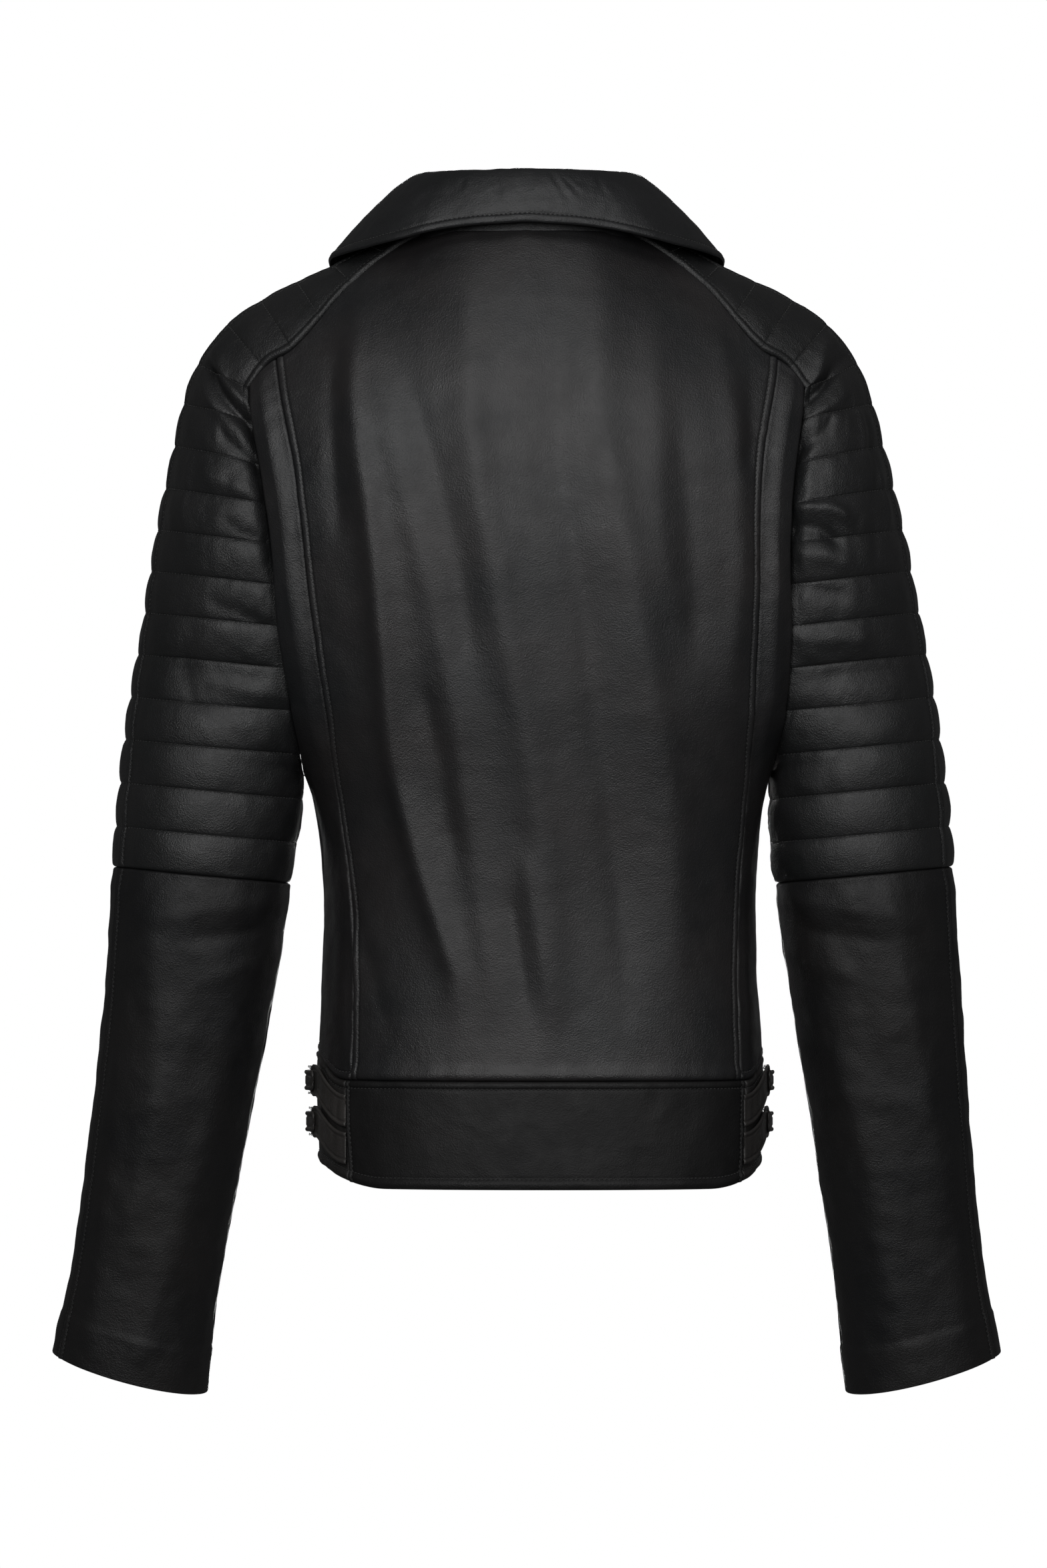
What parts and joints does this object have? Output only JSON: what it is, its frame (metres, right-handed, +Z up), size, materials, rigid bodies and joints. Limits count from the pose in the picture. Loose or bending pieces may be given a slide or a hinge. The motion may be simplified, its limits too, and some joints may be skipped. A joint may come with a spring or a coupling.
{
  "type": "leather riding jacket",
  "caption": "Waist-length leather riding jacket with a turned-down collar, quilted raglan sleeves, paired buckled waist straps, a front zip and zipped hand pockets.",
  "frame": {"origin": "centre of the back neck seam, under the collar", "axes": "+Z up; the back of the jacket faces -Y and the front +Y; +X is the wearer's right"},
  "size_m": [0.6097, 0.1987, 0.7833],
  "materials": {
    "shell_leather": "satin black, fine pebble grain",
    "quilted_leather": "satin black, quilted across in channels",
    "collar_leather": "satin black, edge stitched",
    "strap_leather": "satin black, folded and stitched",
    "lining_satin": "black satin lining",
    "zip_tape": "black woven tape with a dark chain",
    "dark_metal": "dark plated metal"
  },
  "bodies": {
    "jacket": {"back_lining": "lining_satin", "back_panel": "shell_leather", "back_side_panel_left": "shell_leather", "back_side_panel_right": "shell_leather", "back_waistband": "shell_leather", "collar_leaf": "collar_leather", "collar_stand": "collar_leather", "front_lining_left": "lining_satin", "front_lining_right": "lining_satin", "front_panel_left": "shell_leather", "front_panel_right": "shell_leather", "front_waistband_left": "shell_leather", "front_waistband_right": "shell_leather", "front_zip_left": "zip_tape", "front_zip_right": "zip_tape", "hand_pocket_zip_left": "zip_tape", "hand_pocket_zip_right": "zip_tape", "hanger_loop": "collar_leather", "lower_sleeve_back_left": "shell_leather", "lower_sleeve_back_right": "shell_leather", "lower_sleeve_front_left": "shell_leather", "lower_sleeve_front_right": "shell_leather", "side_waistband_left": "shell_leather", "side_waistband_right": "shell_leather", "sleeve_lining_left": "lining_satin", "sleeve_lining_right": "lining_satin", "strap_buckle_lower_left": "dark_metal", "strap_buckle_lower_right": "dark_metal", "strap_buckle_upper_left": "dark_metal", "strap_buckle_upper_right": "dark_metal", "strap_tab_lower_left": "strap_leather", "strap_tab_lower_right": "strap_leather", "strap_tab_upper_left": "strap_leather", "strap_tab_upper_right": "strap_leather", "upper_sleeve_back_left": "quilted_leather", "upper_sleeve_back_right": "quilted_leather", "upper_sleeve_front_left": "quilted_leather", "upper_sleeve_front_right": "quilted_leather", "waist_strap_lower_left": "strap_leather", "waist_strap_lower_right": "strap_leather", "waist_strap_upper_left": "strap_leather", "waist_strap_upper_right": "strap_leather"},
    "front_zip_slider": {"front_zip_slider": "dark_metal"},
    "front_zip_pull": {"front_zip_pull": "dark_metal"},
    "hand_pocket_slider_left": {"hand_pocket_slider_left": "dark_metal"},
    "hand_pocket_pull_left": {"hand_pocket_pull_left": "dark_metal"},
    "hand_pocket_slider_right": {"hand_pocket_slider_right": "dark_metal"},
    "hand_pocket_pull_right": {"hand_pocket_pull_right": "dark_metal"},
    "buckle_prong_upper_left": {"buckle_prong_upper_left": "dark_metal"},
    "buckle_prong_upper_right": {"buckle_prong_upper_right": "dark_metal"},
    "buckle_prong_lower_left": {"buckle_prong_lower_left": "dark_metal"},
    "buckle_prong_lower_right": {"buckle_prong_lower_right": "dark_metal"}
  },
  "joints": [
    {"name": "front_zip_slide", "type": "slide", "parent": "jacket", "child": "front_zip_slider", "axis": [0.0049, 0.0448, -0.999], "range_m": [0, 0.497]},
    {"name": "front_zip_pull_swing", "type": "hinge", "parent": "front_zip_slider", "child": "front_zip_pull", "pos_m": [0.00003, 0.12671, -0.08696], "axis": [1, -0.0002, 0.0049], "range_deg": [0, 165]},
    {"name": "hand_pocket_left_slide", "type": "slide", "parent": "jacket", "child": "hand_pocket_slider_left", "axis": [-0.2524, -0.0627, -0.9656], "range_m": [0, 0.1006]},
    {"name": "hand_pocket_left_pull_swing", "type": "hinge", "parent": "hand_pocket_slider_left", "child": "hand_pocket_pull_left", "pos_m": [-0.07394, 0.1394, -0.38367], "axis": [0.9177, 0.301, -0.2594], "range_deg": [0, 165]},
    {"name": "hand_pocket_right_slide", "type": "slide", "parent": "jacket", "child": "hand_pocket_slider_right", "axis": [0.267, -0.0624, -0.9617], "range_m": [0, 0.1011]},
    {"name": "hand_pocket_right_pull_swing", "type": "hinge", "parent": "hand_pocket_slider_right", "child": "hand_pocket_pull_right", "pos_m": [0.0806, 0.1393, -0.38348], "axis": [0.8986, -0.3443, 0.2719], "range_deg": [0, 165]},
    {"name": "buckle_prong_upper_left_swing", "type": "hinge", "parent": "jacket", "child": "buckle_prong_upper_left", "pos_m": [-0.13784, 0.06379, -0.544], "axis": [0, 0, 1], "range_deg": [0, 100]},
    {"name": "buckle_prong_upper_right_swing", "type": "hinge", "parent": "jacket", "child": "buckle_prong_upper_right", "pos_m": [0.15428, 0.06429, -0.544], "axis": [0, 0, -1], "range_deg": [0, 100]},
    {"name": "buckle_prong_lower_left_swing", "type": "hinge", "parent": "jacket", "child": "buckle_prong_lower_left", "pos_m": [-0.1373, 0.06379, -0.5705], "axis": [0, 0, 1], "range_deg": [0, 100]},
    {"name": "buckle_prong_lower_right_swing", "type": "hinge", "parent": "jacket", "child": "buckle_prong_lower_right", "pos_m": [0.15373, 0.06429, -0.5705], "axis": [0, 0, -1], "range_deg": [0, 100]}
  ]
}
